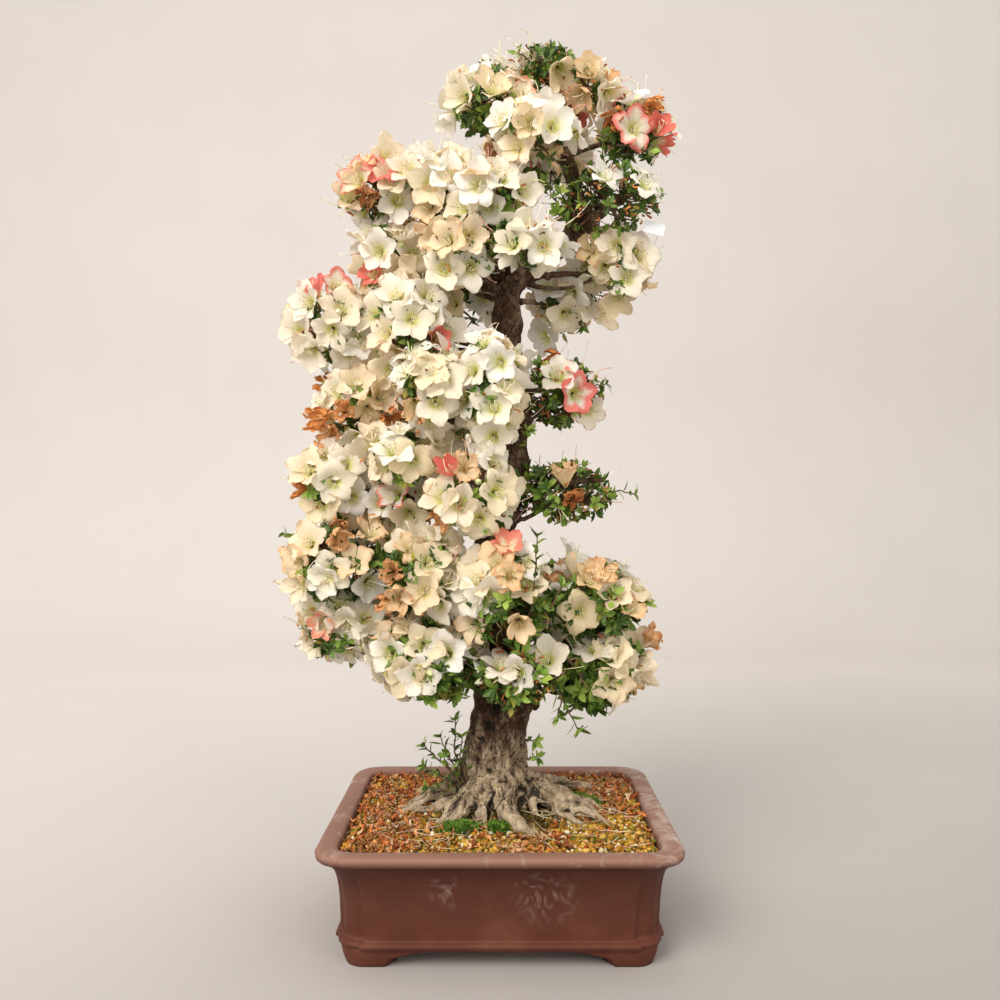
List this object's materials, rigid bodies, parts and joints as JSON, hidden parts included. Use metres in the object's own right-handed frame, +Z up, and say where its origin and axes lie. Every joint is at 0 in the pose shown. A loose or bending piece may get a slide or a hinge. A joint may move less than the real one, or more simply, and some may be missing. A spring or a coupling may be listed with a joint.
{
  "type": "potted azalea bonsai tree",
  "caption": "Tall flowering azalea bonsai with a tapering S-curved trunk and spreading surface roots, in a rectangular unglazed clay pot on bracket feet.",
  "frame": {"origin": "on the ground under the middle of the whole object's box, 24 mm left of the pot's centre", "axes": "+Z up along the trunk, +X to the right along the pot's long side, -Y towards the front"},
  "size_m": [0.436, 0.302, 0.978],
  "materials": {
    "clay": "unglazed reddish-brown stoneware, matte, with a dry mineral bloom on the lip",
    "screen_plastic": "moulded black-green plastic mesh",
    "clip_wire": "annealed copper-coloured aluminium wire",
    "bark": "rough grey-brown bark, paler and smoother on the surface roots",
    "granular_soil": "loose ochre volcanic granules",
    "moss": "living green moss",
    "tag_plastic": "blank white plastic sheet",
    "blossoms": "thin satin petals, cream-white with yellow-green throats, some ageing to tan",
    "leaves": "small leathery leaves with a soft gloss"
  },
  "bodies": {
    "root": {"pot": "clay", "drain_screen_left": "screen_plastic", "drain_screen_right": "screen_plastic", "screen_clip_left": "clip_wire", "screen_clip_right": "clip_wire", "trunk_and_branches": "bark", "soil": "granular_soil", "moss_front_left": "moss", "moss_front_middle": "moss", "moss_right": "moss", "plant_tag": "tag_plastic", "blossoms_crown_left": "blossoms", "leaves_crown_top": "leaves", "blossoms_crown_right": "blossoms", "blossoms_crown_tip": "blossoms", "blossoms_crown_front": "blossoms", "blossoms_crown_back": "blossoms", "blossoms_upper_left_end": "blossoms", "blossoms_upper_left": "blossoms", "blossoms_upper_front": "blossoms", "blossoms_upper_left_low": "blossoms", "blossoms_centre_left": "blossoms", "blossoms_centre_right": "blossoms", "leaves_upper_right": "leaves", "blossoms_upper_right_low": "blossoms", "blossoms_upper_right_back": "blossoms", "blossoms_middle_left_end": "blossoms", "blossoms_middle_left": "blossoms", "blossoms_middle_front_left": "blossoms", "blossoms_middle_front": "blossoms", "blossoms_middle_left_low": "blossoms", "blossoms_centre_left_low": "blossoms", "leaves_middle_right": "leaves", "blossoms_left_edge": "blossoms", "blossoms_lower_left_inner": "blossoms", "blossoms_lower_middle_front": "blossoms", "leaves_lower_right": "leaves", "blossoms_low_left": "blossoms", "blossoms_low_left_under": "blossoms", "blossoms_low_front_left": "blossoms", "blossoms_low_front": "blossoms", "blossoms_low_front_under": "blossoms", "leaves_low_centre": "leaves", "blossoms_low_right": "blossoms", "blossoms_low_right_under": "blossoms", "blossoms_low_back_left": "blossoms", "blossoms_low_back_right": "blossoms", "blossoms_middle_back": "blossoms", "blossoms_upper_back": "blossoms", "leaves_base_shoots": "leaves"}
  },
  "joints": []
}
